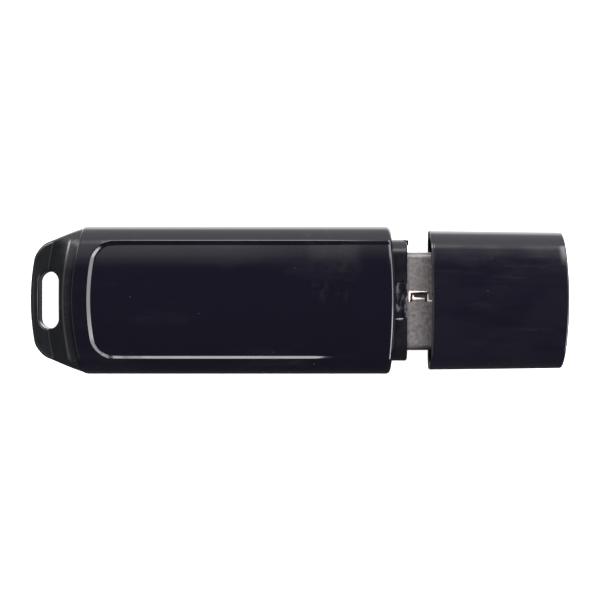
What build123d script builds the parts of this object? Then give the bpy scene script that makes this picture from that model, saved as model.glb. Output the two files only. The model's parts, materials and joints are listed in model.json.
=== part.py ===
from build123d import *
import os

# USB flash drive with a pull-off cap. Millimetres. +X runs towards the plug's tip, +Z is up,
# z = 0 is the surface that the drive lies on. The origin is the bottom centre of the whole
# drive with the cap partly pulled off.

os.makedirs("parts", exist_ok=True)

# ---------------------------------------------------------------- driving dimensions

# Housing
shell_length = 39.4
shell_side_step = 0.5
shell_top_step = 0.2
shell_wall = 1.1
front_wall = 1.5
crown_drop = 1.45
belly_drop = 0.8
rest_flat_width = 9.0
side_rounding = 2.5
rear_bow = 1.35
front_bow = 0.5
corner_setback = 1.75
shell_edge_round = 0.4

# Label recess in the top
recess_depth = 0.3
recess_margin_side = 1.85
recess_margin_rear = 1.85
recess_level_length = 27.0
recess_ramp_length = 7.0
recess_corner = 2.2

# Tail with the lanyard slot
tail_reach = 5.2
tail_tip_inset = 2.55
tail_tip_bow = 0.75
tail_corner = 1.3
tail_tip_thickness = 3.8
tail_root_thickness = 7.8
tail_root_length = 0.85
tail_ramp_length = 2.3
tail_ramp_round = 0.6
tail_edge_round = 0.4
tongue_length = 4.0
tongue_depth = 3.2
slot_length = 7.0
slot_width = 2.6
slot_wall = 1.05
slot_edge_round = 0.25
peg_radius = 0.9
peg_boss_radius = 1.7
peg_spacing = 9.0
peg_inset = 2.3
peg_overreach = 1.0

# Neck collar
neck_side_wall = 1.475
neck_top_wall = 0.65
neck_reach = 1.55
neck_corner = 2.0
neck_bevel = 0.15
flange_thickness = 1.6
pocket_width = 4.7
pocket_length = 1.2
pocket_depth = 0.3
nub_width = 0.62
nub_reach = 0.2
nub_height = 1.6
nub_inset = 0.14
nub_root = 0.4
nub_rise = 0.2

# USB-A plug
plug_width = 12.0
plug_height = 4.5
plug_metal = 0.3
plug_corner = 0.65
plug_tip_bevel = 0.15
plug_reach = 12.5
plug_root = 6.1
plug_side_shift = -0.15
seam_gap = 0.12
seam_notch_length = 2.3
seam_notch_width = 1.15
seam_notch_inset = 0.25
seam_tab_length = 1.5
seam_tab_width = 0.5
window_width = 2.5
window_length = 2.25
window_spacing = 5.16
window_from_tip = 6.4
solder_tab_length = 1.6
solder_tab_drop = 0.6
tongue_thickness = 1.9
tongue_recess = 0.3
mating_depth = 11.9
contact_width = 1.0
contact_metal = 0.15
power_contact_offset = 3.5
data_contact_offset = 1.0
power_contact_recess = 0.9
data_contact_recess = 1.9
contact_tail = 1.8

# Cap
cap_length = 16.7
cap_side_wall = 0.975
cap_top_wall = 1.05
cap_taper = 0.2
cap_end_wall = 1.2
cap_end_bow = 0.6
cap_mouth_bow = 0.2
cap_edge_round = 0.5
cap_mouth_bevel = 0.12
cap_pull = 4.5
insert_depth = 2.3
insert_end_gap = 0.3
insert_lead_in = 0.3
bump_length = 0.5
bump_width = 4.2
bump_inset = 0.45

# Electronics
board_side_gap = 0.8
board_thickness = 1.0
board_rear_gap = 0.5
memory_length = 18.4
memory_width = 12.0
memory_height = 1.0
memory_leads = 24
memory_margin = 1.0
controller_side = 7.0
controller_height = 1.2
controller_leads_per_side = 12
lead_pitch = 0.5
lead_width = 0.22
lead_metal = 0.13
lead_reach = 0.8
mark_radius = 0.5
mark_depth = 0.1
mark_inset = 0.6
crystal_length = 5.0
crystal_width = 3.2
crystal_base_height = 0.4
crystal_lid_height = 0.5
crystal_rim = 0.3
crystal_edge_gap = 2.0
capacitor_size = (1.0, 0.8, 0.8)
capacitor_end = 0.3
capacitor_column_gap = 1.6
small_gap = 0.48
resistor_size = (0.9, 0.8, 0.45)
resistor_end = 0.3
resistor_count = 5
resistor_gap = 1.05
regulator_size = (2.9, 1.3, 1.0)
regulator_pitch = 0.95
regulator_lead_width = 0.4
regulator_edge_gap = 2.1
ledge_length = 2.0
ledge_gap = 0.2
ledge_inset = 2.2
solder_length = 0.6
solder_height = 0.4
solder_ring = 0.5

# Clearances
fit_gap = 0.05
slide_gap = 0.15
standoff = 0.1

# ---------------------------------------------------------------- derived places

neck_width = plug_width + 2 * neck_side_wall
neck_thickness = plug_height + 2 * neck_top_wall
bore_width = neck_width + 2 * slide_gap
bore_height = neck_thickness + 2 * slide_gap
bore_corner = neck_corner + slide_gap
cap_mouth_width = bore_width + 2 * cap_side_wall
cap_tip_width = cap_mouth_width - 2 * cap_taper
cap_thickness = bore_height + 2 * cap_top_wall
body_width = cap_mouth_width + 2 * shell_side_step
body_thickness = cap_thickness + 2 * shell_top_step
tail_tip_width = body_width - 2 * tail_tip_inset
cavity_half = body_width / 2 - shell_wall
board_width = 2 * (cavity_half - board_side_gap)

total_length = tail_reach + shell_length + cap_pull + cap_length
x_tail_tip = -total_length / 2
x_shell_rear = x_tail_tip + tail_reach
x_shell_front = x_shell_rear + shell_length
x_neck_end = x_shell_front + neck_reach
x_plug_tip = x_neck_end + plug_reach
x_plug_rear = x_neck_end - plug_root
x_cap_mouth = x_shell_front + cap_pull
x_cap_end = x_cap_mouth + cap_length
x_cavity_front = x_shell_front - front_wall
x_tongue_end = x_shell_rear + tongue_length
x_board_front = x_plug_rear - fit_gap
x_board_rear = x_tongue_end + board_rear_gap
z_mid = body_thickness / 2
x_tail_side = x_tail_tip + tail_tip_bow
slot_x = x_tail_tip + slot_wall + slot_width / 2
x_shoulder = x_shell_rear + corner_setback
tail_slope = (body_width - tail_tip_width) / 2 / (x_shoulder - x_tail_side)

tongue_bottom = z_mid + plug_height / 2 - plug_metal - tongue_thickness
board_top = tongue_bottom - contact_metal
board_bottom = board_top - board_thickness
board_length = x_board_front - x_board_rear
board_centre_x = (x_board_front + x_board_rear) / 2
contact_offsets = (-power_contact_offset, -data_contact_offset, data_contact_offset, power_contact_offset)

# ---------------------------------------------------------------- shared outlines


def crowned_section(width, thickness, rounding):
    """Cross-section of the housing and the cap: crowned top, flat on the belly, rounded sides."""
    low = z_mid - thickness / 2
    high = z_mid + thickness / 2
    half = width / 2
    flat = rest_flat_width / 2
    with BuildSketch() as section:
        with BuildLine():
            ThreePointArc((half, high - crown_drop), (0, high), (-half, high - crown_drop))
            Polyline((-half, high - crown_drop), (-half, low + belly_drop), (-flat, low))
            Line((-flat, low), (flat, low))
            Polyline((flat, low), (half, low + belly_drop), (half, high - crown_drop))
        make_face()
        fillet([v for v in section.vertices() if abs(v.X) > (flat + half) / 2], rounding)
    return section.sketch


def housing_plan():
    """Plan of the housing: bowed rear and front ends, rear corners cut along the tail's sides."""
    half = body_width / 2
    corner_x = x_shell_rear + rear_bow
    corner_y = half - (x_shoulder - corner_x) * tail_slope
    front_x = x_shell_front - front_bow
    with BuildSketch() as plan:
        with BuildLine():
            ThreePointArc((corner_x, -corner_y), (x_shell_rear, 0), (corner_x, corner_y))
            Polyline((corner_x, corner_y), (x_shoulder, half), (front_x, half))
            ThreePointArc((front_x, half), (x_shell_front, 0), (front_x, -half))
            Polyline((front_x, -half), (x_shoulder, -half), (corner_x, -corner_y))
        make_face()
    return plan.sketch


def tail_plan():
    """Plan of the tail: bowed tip, rounded corners, slanted sides, rear end of the housing."""
    half = tail_tip_width / 2
    corner_x = x_shell_rear + rear_bow
    corner_y = body_width / 2 - (x_shoulder - corner_x) * tail_slope
    with BuildSketch() as plan:
        with BuildLine():
            ThreePointArc((x_tail_side, -half), (x_tail_tip, 0), (x_tail_side, half))
            Line((x_tail_side, half), (corner_x, corner_y))
            ThreePointArc((corner_x, corner_y), (x_shell_rear, 0), (corner_x, -corner_y))
            Line((corner_x, -corner_y), (x_tail_side, -half))
        make_face()
        fillet(plan.vertices().group_by(Axis.X)[0], tail_corner)
    return plan.sketch


def recess_plan():
    """Plan of the label recess, whose rear end follows the housing's bowed rear end."""
    half = body_width / 2 - recess_margin_side
    rear = x_shell_rear + recess_margin_rear
    front = rear + recess_level_length + recess_ramp_length
    bow = rear_bow * (half / (body_width / 2)) ** 2
    with BuildSketch() as plan:
        with BuildLine():
            ThreePointArc((rear + bow, -half), (rear, 0), (rear + bow, half))
            Polyline((rear + bow, half), (front, half), (front, -half), (rear + bow, -half))
        make_face()
        fillet(plan.vertices().group_by(Axis.X)[0], recess_corner)
    return plan.sketch


def cavity_section():
    """Cross-section of the space inside the housing, one wall in from its outside."""
    with BuildSketch() as section:
        add(crowned_section(body_width, body_thickness, side_rounding))
        offset(amount=-shell_wall)
    return section.sketch


def box_between(low, high):
    """A box from one corner to the opposite one."""
    with BuildPart() as box:
        with BuildSketch(Plane.XY.offset(low[2])):
            with Locations(((low[0] + high[0]) / 2, (low[1] + high[1]) / 2)):
                Rectangle(high[0] - low[0], high[1] - low[1])
        extrude(amount=high[2] - low[2])
    return box.part


def gull_lead(shoulder, width):
    """A bent package lead: root at the origin, foot on z = 0, reaching along +X."""
    bend = lead_reach / 2
    with BuildPart() as lead:
        with BuildSketch(Plane.XZ):
            with BuildLine():
                Polyline(
                    (0, shoulder),
                    (bend, shoulder),
                    (bend, lead_metal),
                    (lead_reach, lead_metal),
                    (lead_reach, 0),
                    (bend - lead_metal, 0),
                    (bend - lead_metal, shoulder - lead_metal),
                    (0, shoulder - lead_metal),
                    (0, shoulder),
                )
            make_face()
        extrude(amount=width / 2, both=True)
    return lead.part


def chip_body(length, width, height):
    """A moulded package on z = 0 with bevelled top edges and a round orientation mark."""
    mark_centre = mark_inset + mark_radius
    with BuildPart() as body:
        with BuildSketch():
            Rectangle(length, width)
        extrude(amount=height)
        chamfer(body.faces().sort_by(Axis.Z)[-1].edges(), mark_depth)
        with BuildSketch(Plane.XY.offset(height)):
            with Locations((mark_centre - length / 2, mark_centre - width / 2)):
                Circle(mark_radius)
        extrude(amount=-mark_depth, mode=Mode.SUBTRACT)
    return body.part


# ---------------------------------------------------------------- housing

with BuildPart() as envelope:
    with BuildSketch(Plane.XY):
        add(housing_plan())
    extrude(amount=body_thickness)
    with BuildSketch(Plane.YZ.offset(x_shell_rear)):
        add(crowned_section(body_width, body_thickness, side_rounding))
    extrude(amount=shell_length, mode=Mode.INTERSECT)
    fillet(envelope.faces().sort_by(Axis.X)[-1].edges(), shell_edge_round)

# Space for the board, open at the rear for the tail's tongue and at the front for the neck
with BuildPart() as cavity:
    with BuildSketch(Plane.YZ.offset(x_shell_rear)):
        add(cavity_section())
    extrude(amount=x_cavity_front - x_shell_rear)
    with BuildSketch(Plane.YZ.offset(x_cavity_front - fit_gap)):
        with Locations((0, z_mid)):
            RectangleRounded(
                neck_width + 2 * fit_gap, neck_thickness + 2 * fit_gap, neck_corner + fit_gap
            )
    extrude(amount=front_wall + 2 * fit_gap)

# Floor of the recess: the crowned top, lowered, then rising to full height along the ramp
x_recess_ramp = x_shell_rear + recess_margin_rear + recess_level_length
with BuildPart() as recess_floor:
    with BuildSketch(Plane.YZ.offset(x_shell_rear)):
        with Locations((0, -recess_depth)):
            add(crowned_section(body_width, body_thickness, side_rounding))
    extrude(amount=x_recess_ramp - x_shell_rear)
    with BuildSketch(Plane.YZ.offset(x_recess_ramp)):
        with Locations((0, -recess_depth)):
            add(crowned_section(body_width, body_thickness, side_rounding))
    with BuildSketch(Plane.YZ.offset(x_recess_ramp + recess_ramp_length)):
        add(crowned_section(body_width, body_thickness, side_rounding))
    loft(ruled=True)

with BuildPart() as recess:
    with BuildSketch(Plane.XY.offset(z_mid)):
        add(recess_plan())
    extrude(amount=body_thickness)
    add(recess_floor.part, mode=Mode.SUBTRACT)

# Four board supports: (x, side) of each, shared by the ledges below and the posts above
support_places = [
    (x, side)
    for x in (x_board_rear + ledge_inset, x_board_front - ledge_inset - ledge_length)
    for side in (-1, 1)
]


def board_supports(low, high):
    """Blocks at the board's four supports between two heights, kept inside the housing."""
    outside = cavity_half - fit_gap
    inside = memory_width / 2 + ledge_gap
    with BuildPart() as supports:
        with BuildSketch(Plane.XY.offset(low)):
            with Locations(*[(x, side * (outside + inside) / 2) for x, side in support_places]):
                Rectangle(ledge_length, outside - inside)
        extrude(amount=high - low)
        add(envelope.part, mode=Mode.INTERSECT)
    return supports.part


peg_places = [(x_shell_rear + peg_inset, side * peg_spacing / 2) for side in (-1, 1)]
z_tongue_low = z_mid - tongue_depth / 2
z_tongue_high = z_mid + tongue_depth / 2

with BuildPart() as upper_shell:
    add(envelope.part)
    split(bisect_by=Plane.XY.offset(z_mid), keep=Keep.TOP)
    add(cavity.part, mode=Mode.SUBTRACT)
    add(board_supports(board_top, body_thickness - shell_wall / 2))
    with BuildSketch(Plane.XY.offset(z_tongue_high)):
        with Locations(*peg_places):
            Circle(peg_boss_radius)
            Circle(peg_radius + fit_gap, mode=Mode.SUBTRACT)
    extrude(amount=body_thickness - shell_wall / 2 - z_tongue_high - recess_depth)
    with BuildSketch(Plane.XY.offset(z_tongue_high)):
        with Locations(*peg_places):
            Circle(peg_radius + fit_gap)
    extrude(amount=peg_overreach + fit_gap, mode=Mode.SUBTRACT)
    add(recess.part, mode=Mode.SUBTRACT)

with BuildPart() as lower_shell:
    add(envelope.part)
    split(bisect_by=Plane.XY.offset(z_mid), keep=Keep.BOTTOM)
    add(cavity.part, mode=Mode.SUBTRACT)
    add(board_supports(shell_wall / 2, board_bottom))
    with BuildSketch(Plane.XY.offset(shell_wall / 2)):
        with Locations(*peg_places):
            Circle(peg_boss_radius)
    extrude(amount=z_tongue_low - shell_wall / 2)
    with BuildSketch(Plane.XY.offset(z_tongue_low)):
        with Locations(*peg_places):
            Circle(peg_radius)
    extrude(amount=tongue_depth + peg_overreach)

# ---------------------------------------------------------------- tail

with BuildPart() as tail_loop:
    with BuildSketch(Plane.YZ.offset(x_tail_tip)):
        add(crowned_section(body_width, tail_root_thickness, side_rounding))
    extrude(amount=tail_reach + rear_bow)
    x_root = x_shell_rear - tail_root_length
    x_foot = x_root - tail_ramp_length
    tip_half = tail_tip_thickness / 2
    root_half = tail_root_thickness / 2
    with BuildSketch(Plane.XZ) as tail_side:
        with BuildLine():
            Polyline(
                (x_tail_tip, z_mid + tip_half),
                (x_foot, z_mid + tip_half),
                (x_root, z_mid + root_half),
                (x_shell_rear + rear_bow, z_mid + root_half),
                (x_shell_rear + rear_bow, z_mid - root_half),
                (x_root, z_mid - root_half),
                (x_foot, z_mid - tip_half),
                (x_tail_tip, z_mid - tip_half),
                (x_tail_tip, z_mid + tip_half),
            )
        make_face()
        bends = [v for v in tail_side.vertices() if x_tail_tip < v.X - fit_gap < x_shell_rear]
        fillet(bends, tail_ramp_round)
    extrude(amount=body_width / 2, both=True, mode=Mode.INTERSECT)
    with BuildSketch(Plane.XY):
        add(tail_plan())
    extrude(amount=body_thickness, mode=Mode.INTERSECT)
    walls = [f for f in tail_loop.faces() if abs(f.normal_at().Z) < 0.01]
    rims = [
        edge
        for wall in walls
        if wall.bounding_box().min.X < x_foot
        for edge in wall.edges()
        if edge.bounding_box().size.Z < tail_tip_thickness / 2
        and edge.bounding_box().min.X < x_shell_rear - fit_gap
    ]
    fillet(rims, tail_edge_round)
    with BuildSketch(Plane.XY):
        with Locations((slot_x, 0)):
            SlotOverall(slot_length, slot_width, rotation=90)
    extrude(amount=body_thickness, mode=Mode.SUBTRACT)
    slot_walls = [
        face
        for face in tail_loop.faces()
        if abs(face.normal_at().Z) < 0.01
        and abs(face.center().X - slot_x) < slot_width
        and abs(face.center().Y) < slot_length / 2
        and face.bounding_box().min.X > x_tail_tip + fit_gap
    ]
    slot_rims = [
        edge
        for face in slot_walls
        for edge in face.edges()
        if edge.bounding_box().size.Z < tail_tip_thickness / 2
    ]
    fillet(slot_rims, slot_edge_round)
    with BuildSketch(Plane.YZ.offset(x_shell_rear - tail_root_length)):
        add(cavity_section())
        offset(amount=-fit_gap)
        with Locations((0, z_mid)):
            Rectangle(body_width, tongue_depth, mode=Mode.INTERSECT)
    extrude(amount=tongue_length + tail_root_length)
    with BuildSketch(Plane.XY):
        with Locations(*peg_places):
            Circle(peg_radius + fit_gap)
    extrude(amount=body_thickness, mode=Mode.SUBTRACT)

# ---------------------------------------------------------------- neck collar

x_flange = x_cavity_front - fit_gap - flange_thickness
with BuildPart() as neck_collar:
    with BuildSketch(Plane.YZ.offset(x_flange + flange_thickness)):
        with Locations((0, z_mid)):
            RectangleRounded(neck_width, neck_thickness, neck_corner)
    extrude(amount=x_neck_end - x_flange - flange_thickness)
    chamfer(neck_collar.faces().sort_by(Axis.X)[-1].edges(), neck_bevel)
    with BuildSketch(Plane.YZ.offset(x_flange)):
        add(cavity_section())
        offset(amount=-fit_gap)
    extrude(amount=flange_thickness)
    nub_side = neck_width / 2 - nub_inset
    add(
        box_between(
            (x_neck_end - nub_root, nub_side - nub_width, z_mid + nub_rise),
            (x_neck_end + nub_reach, nub_side, z_mid + nub_rise + nub_height),
        )
    )
    with BuildSketch(Plane.YZ.offset(x_flange)):
        with Locations((plug_side_shift, z_mid)):
            RectangleRounded(
                plug_width + 2 * fit_gap, plug_height + 2 * fit_gap, plug_corner + fit_gap
            )
    extrude(amount=x_neck_end + nub_reach - x_flange, mode=Mode.SUBTRACT)
    pocket_x = x_shell_front + pocket_length / 2
    for face_z, inward in ((z_mid + neck_thickness / 2, -1), (z_mid - neck_thickness / 2, 1)):
        with BuildSketch(Plane.XY.offset(face_z)):
            with Locations((pocket_x, 0)):
                Rectangle(pocket_length, pocket_width)
        extrude(amount=inward * pocket_depth, mode=Mode.SUBTRACT)

# ---------------------------------------------------------------- USB-A plug

z_plug_top = z_mid + plug_height / 2
inner_width = plug_width - 2 * plug_metal
inner_height = plug_height - 2 * plug_metal
x_notch = x_neck_end + seam_notch_inset
tab_offsets = [plug_side_shift + side * (plug_width - plug_metal) / 2 for side in (-1, 1)]

with BuildPart() as plug_shell:
    with BuildSketch(Plane.YZ.offset(x_plug_rear)):
        with Locations((plug_side_shift, z_mid)):
            RectangleRounded(plug_width, plug_height, plug_corner)
            RectangleRounded(
                inner_width, inner_height, plug_corner - plug_metal, mode=Mode.SUBTRACT
            )
    extrude(amount=x_plug_tip - x_plug_rear)
    chamfer(plug_shell.faces().sort_by(Axis.X)[-1].outer_wire().edges(), plug_tip_bevel)
    with BuildSketch(Plane.XY):
        with Locations((x_plug_tip - window_from_tip - window_length / 2, plug_side_shift)):
            with GridLocations(1, window_spacing, 1, 2):
                Rectangle(window_length, window_width)
    extrude(amount=body_thickness, mode=Mode.SUBTRACT)
    with BuildSketch(Plane.XY.offset(z_plug_top)):
        with Locations(((x_plug_rear + x_plug_tip) / 2, plug_side_shift)):
            Rectangle(x_plug_tip - x_plug_rear, seam_gap)
        with Locations((x_notch + seam_notch_length / 2, plug_side_shift + seam_notch_width / 2)):
            Rectangle(seam_notch_length, seam_notch_width)
        with Locations(
            (x_notch + seam_notch_length / 2, plug_side_shift + (seam_tab_width - seam_gap) / 2)
        ):
            Rectangle(seam_tab_length, seam_tab_width + seam_gap, mode=Mode.SUBTRACT)
    extrude(amount=-plug_metal, mode=Mode.SUBTRACT)
    with BuildSketch(Plane.XY.offset(board_bottom - solder_tab_drop)):
        with Locations(*[(x_plug_rear - solder_tab_length / 2, y) for y in tab_offsets]):
            Rectangle(solder_tab_length, plug_metal)
    extrude(amount=z_mid + solder_tab_drop - board_bottom + solder_tab_drop)

x_block_front = x_plug_tip - mating_depth
with BuildPart() as plug_insulator:
    with BuildSketch(Plane.YZ.offset(x_plug_rear + tongue_recess)):
        with Locations((plug_side_shift, z_mid)):
            RectangleRounded(
                inner_width - 2 * fit_gap, inner_height - 2 * fit_gap, plug_corner - plug_metal
            )
    extrude(amount=x_block_front - x_plug_rear - tongue_recess)
    add(
        box_between(
            (x_block_front, plug_side_shift - inner_width / 2 + plug_metal, tongue_bottom),
            (
                x_plug_tip - tongue_recess,
                plug_side_shift + inner_width / 2 - plug_metal,
                tongue_bottom + tongue_thickness - fit_gap,
            ),
        )
    )
    with BuildSketch(Plane.XY.offset(board_top)):
        with Locations(*[((x_plug_rear + x_block_front) / 2, plug_side_shift + y) for y in contact_offsets]):
            Rectangle(x_block_front - x_plug_rear, contact_width)
    extrude(amount=contact_metal, mode=Mode.SUBTRACT)

with BuildPart() as contact_pins:
    for offset_y in contact_offsets:
        power = abs(offset_y) == power_contact_offset
        tip = x_plug_tip - (power_contact_recess if power else data_contact_recess)
        add(
            box_between(
                (x_board_front - contact_tail, plug_side_shift + offset_y - contact_width / 2, board_top),
                (tip, plug_side_shift + offset_y + contact_width / 2, tongue_bottom),
            )
        )

# ---------------------------------------------------------------- electronics

with BuildPart() as circuit_board:
    with BuildSketch(Plane.XY.offset(board_bottom)):
        with Locations((board_centre_x, 0)):
            Rectangle(board_length, board_width)
        notch = solder_tab_length + standoff
        with Locations(*[(x_board_front - notch / 2, y) for y in tab_offsets]):
            Rectangle(notch, plug_metal + 2 * standoff, mode=Mode.SUBTRACT)
    extrude(amount=board_thickness)

memory_x = x_board_rear + memory_margin + lead_reach + memory_length / 2
with BuildPart() as flash_chip:
    with Locations((memory_x, 0, board_top + standoff)):
        add(chip_body(memory_length, memory_width, memory_height))

memory_pins = [
    Location((memory_x, 0, board_top), (0, 0, turn))
    * Location((memory_length / 2, (row - (memory_leads - 1) / 2) * lead_pitch, 0))
    for turn in (0, 180)
    for row in range(memory_leads)
]
with BuildPart() as flash_chip_leads:
    with Locations(*memory_pins):
        add(gull_lead(standoff + memory_height / 2, lead_width))

controller_x = x_board_front - contact_tail - controller_side / 2 - lead_reach
controller_place = Location((controller_x, 0, board_bottom), (180, 0, 0))
with BuildPart() as controller_chip:
    with Locations(controller_place * Location((0, 0, standoff))):
        add(chip_body(controller_side, controller_side, controller_height))

controller_pins = [
    controller_place
    * Location((0, 0, 0), (0, 0, 90 * side))
    * Location((controller_side / 2, (row - (controller_leads_per_side - 1) / 2) * lead_pitch, 0))
    for side in range(4)
    for row in range(controller_leads_per_side)
]
with BuildPart() as controller_leads:
    with Locations(*controller_pins):
        add(gull_lead(standoff + controller_height / 2, lead_width))

# Small parts stand on the board's top between the memory and the plug
small_x = (memory_x + memory_length / 2 + lead_reach + x_board_front - contact_tail) / 2
crystal_y = crystal_edge_gap + crystal_width / 2 - board_width / 2
with BuildPart() as crystal_base:
    with BuildSketch(Plane.XY.offset(board_top)):
        with Locations((small_x, crystal_y)):
            Rectangle(crystal_length, crystal_width)
    extrude(amount=crystal_base_height)

with BuildPart() as crystal_lid:
    with BuildSketch(Plane.XY.offset(board_top + crystal_base_height)):
        with Locations((small_x, crystal_y)):
            RectangleRounded(crystal_length - 2 * crystal_rim, crystal_width - 2 * crystal_rim, crystal_rim)
    extrude(amount=crystal_lid_height)


def bodies_and_ends(size, end, places):
    """Blocks on a surface and the metal ends that close each of them at both ends along X."""
    length, width, height = size
    with BuildPart() as blocks:
        with Locations(*places):
            Box(length, width, height, align=(Align.CENTER, Align.CENTER, Align.MIN))
    with BuildPart() as ends:
        with Locations(*places):
            with GridLocations(length + end, 1, 2, 1):
                Box(end, width, height, align=(Align.CENTER, Align.CENTER, Align.MIN))
    return blocks, ends


small_pitch = capacitor_size[1] + small_gap
column_offset = capacitor_size[0] / 2 + capacitor_end + capacitor_column_gap / 2
capacitor_places = [
    Location((small_x + column * column_offset, row * small_pitch, board_top))
    for column in (-1, 1)
    for row in (0, 1)
]
capacitors, capacitor_terminals = bodies_and_ends(capacitor_size, capacitor_end, capacitor_places)

resistor_x = (
    controller_x - controller_side / 2 - lead_reach - resistor_gap - resistor_end - resistor_size[0] / 2
)
resistor_places = [
    Location((resistor_x, (row - (resistor_count - 1) / 2) * small_pitch, board_bottom), (180, 0, 0))
    for row in range(resistor_count)
]
resistors, resistor_terminals = bodies_and_ends(resistor_size, resistor_end, resistor_places)

regulator_y = board_width / 2 - regulator_edge_gap - regulator_size[1] / 2
regulator_place = Location((small_x, regulator_y, board_top))
with BuildPart() as voltage_regulator:
    with Locations(regulator_place * Location((0, 0, standoff))):
        Box(*regulator_size, align=(Align.CENTER, Align.CENTER, Align.MIN))

regulator_pins = [
    regulator_place * Location((x, side * regulator_size[1] / 2, 0), (0, 0, side * 90))
    for x, side in ((-regulator_pitch, -1), (regulator_pitch, -1), (0, 1))
]
with BuildPart() as regulator_leads:
    with Locations(*regulator_pins):
        add(gull_lead(standoff + regulator_size[2] / 2, regulator_lead_width))

# Solder: a bead behind each contact's tail and a collar under each shield tab
with BuildPart() as solder_joints:
    for offset_y in contact_offsets:
        tail_end = x_board_front - contact_tail
        with BuildSketch(Plane.XZ.offset(-(plug_side_shift + offset_y))):
            with BuildLine():
                Polyline(
                    (tail_end, board_top),
                    (tail_end, board_top + contact_metal),
                    (tail_end - solder_length, board_top),
                    (tail_end, board_top),
                )
            make_face()
        extrude(amount=contact_width / 2, both=True)
    with BuildSketch(Plane.XY.offset(board_bottom)):
        collar_length = solder_tab_length + solder_ring
        with Locations(*[(x_board_front - collar_length / 2, y) for y in tab_offsets]):
            Rectangle(collar_length, plug_metal + 2 * solder_ring)
        with Locations(*[(x_plug_rear - solder_tab_length / 2, y) for y in tab_offsets]):
            Rectangle(solder_tab_length, plug_metal, mode=Mode.SUBTRACT)
    extrude(amount=-solder_height)

# ---------------------------------------------------------------- cap

x_bore_end = x_cap_end - cap_end_wall


def cap_plan():
    """Plan of the cap's two ends: hollow mouth and bowed end, wider than the cap."""
    half = body_width / 2
    mouth_x = x_cap_mouth - cap_mouth_bow
    end_x = x_cap_end - cap_end_bow
    with BuildSketch() as plan:
        with BuildLine():
            ThreePointArc((mouth_x, -half), (x_cap_mouth, 0), (mouth_x, half))
            Line((mouth_x, half), (end_x, half))
            ThreePointArc((end_x, half), (x_cap_end, 0), (end_x, -half))
            Line((end_x, -half), (mouth_x, -half))
        make_face()
    return plan.sketch


with BuildPart() as cap_shell:
    with BuildSketch(Plane.YZ.offset(x_cap_mouth - cap_mouth_bow)):
        add(crowned_section(cap_mouth_width, cap_thickness, side_rounding))
    with BuildSketch(Plane.YZ.offset(x_cap_end)):
        add(crowned_section(cap_tip_width, cap_thickness, side_rounding))
    loft(ruled=True)
    with BuildSketch(Plane.XY):
        add(cap_plan())
    extrude(amount=body_thickness, mode=Mode.INTERSECT)
    fillet(cap_shell.faces().sort_by(Axis.X)[-1].edges(), cap_edge_round)
    with BuildSketch(Plane.YZ.offset(x_cap_mouth - cap_mouth_bow)):
        with Locations((0, z_mid)):
            RectangleRounded(bore_width, bore_height, bore_corner)
    extrude(amount=x_bore_end - x_cap_mouth + cap_mouth_bow, mode=Mode.SUBTRACT)
    chamfer(cap_shell.faces().sort_by(Axis.X)[0].edges(), cap_mouth_bevel)
    bump_height = slide_gap - fit_gap
    for side in (-1, 1):
        with BuildSketch(Plane.XY.offset(z_mid + side * bore_height / 2)):
            with Locations((x_cap_mouth + bump_inset + bump_length / 2, 0)):
                Rectangle(bump_length, bump_width)
        extrude(amount=-side * bump_height)

with BuildPart() as cap_insert:
    with BuildSketch(Plane.YZ.offset(x_cap_mouth + insert_depth)):
        with Locations((0, z_mid)):
            RectangleRounded(bore_width - 2 * fit_gap, bore_height - 2 * fit_gap, bore_corner - fit_gap)
        with Locations((plug_side_shift, z_mid)):
            RectangleRounded(
                plug_width + 2 * slide_gap,
                plug_height + 2 * slide_gap,
                plug_corner + slide_gap,
                mode=Mode.SUBTRACT,
            )
    extrude(amount=x_bore_end - insert_end_gap - x_cap_mouth - insert_depth)
    mouth_face = cap_insert.faces().sort_by(Axis.X)[0]
    chamfer(mouth_face.inner_wires()[0].edges(), insert_lead_in)

# ---------------------------------------------------------------- export

pieces = {
    "upper_shell": upper_shell,
    "lower_shell": lower_shell,
    "tail_loop": tail_loop,
    "neck_collar": neck_collar,
    "plug_shell": plug_shell,
    "plug_insulator": plug_insulator,
    "contact_pins": contact_pins,
    "circuit_board": circuit_board,
    "flash_chip": flash_chip,
    "flash_chip_leads": flash_chip_leads,
    "controller_chip": controller_chip,
    "controller_leads": controller_leads,
    "crystal_base": crystal_base,
    "crystal_lid": crystal_lid,
    "capacitors": capacitors,
    "capacitor_terminals": capacitor_terminals,
    "resistors": resistors,
    "resistor_terminals": resistor_terminals,
    "voltage_regulator": voltage_regulator,
    "regulator_leads": regulator_leads,
    "solder_joints": solder_joints,
    "cap_shell": cap_shell,
    "cap_insert": cap_insert,
}
for name, piece in pieces.items():
    piece.part.label = name
    export_step(piece.part, f"parts/{name}.step")
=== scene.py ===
"""Looks of the USB flash drive: its housing, tail and cap as finished meshes, and every material."""
import json
import math

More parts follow.
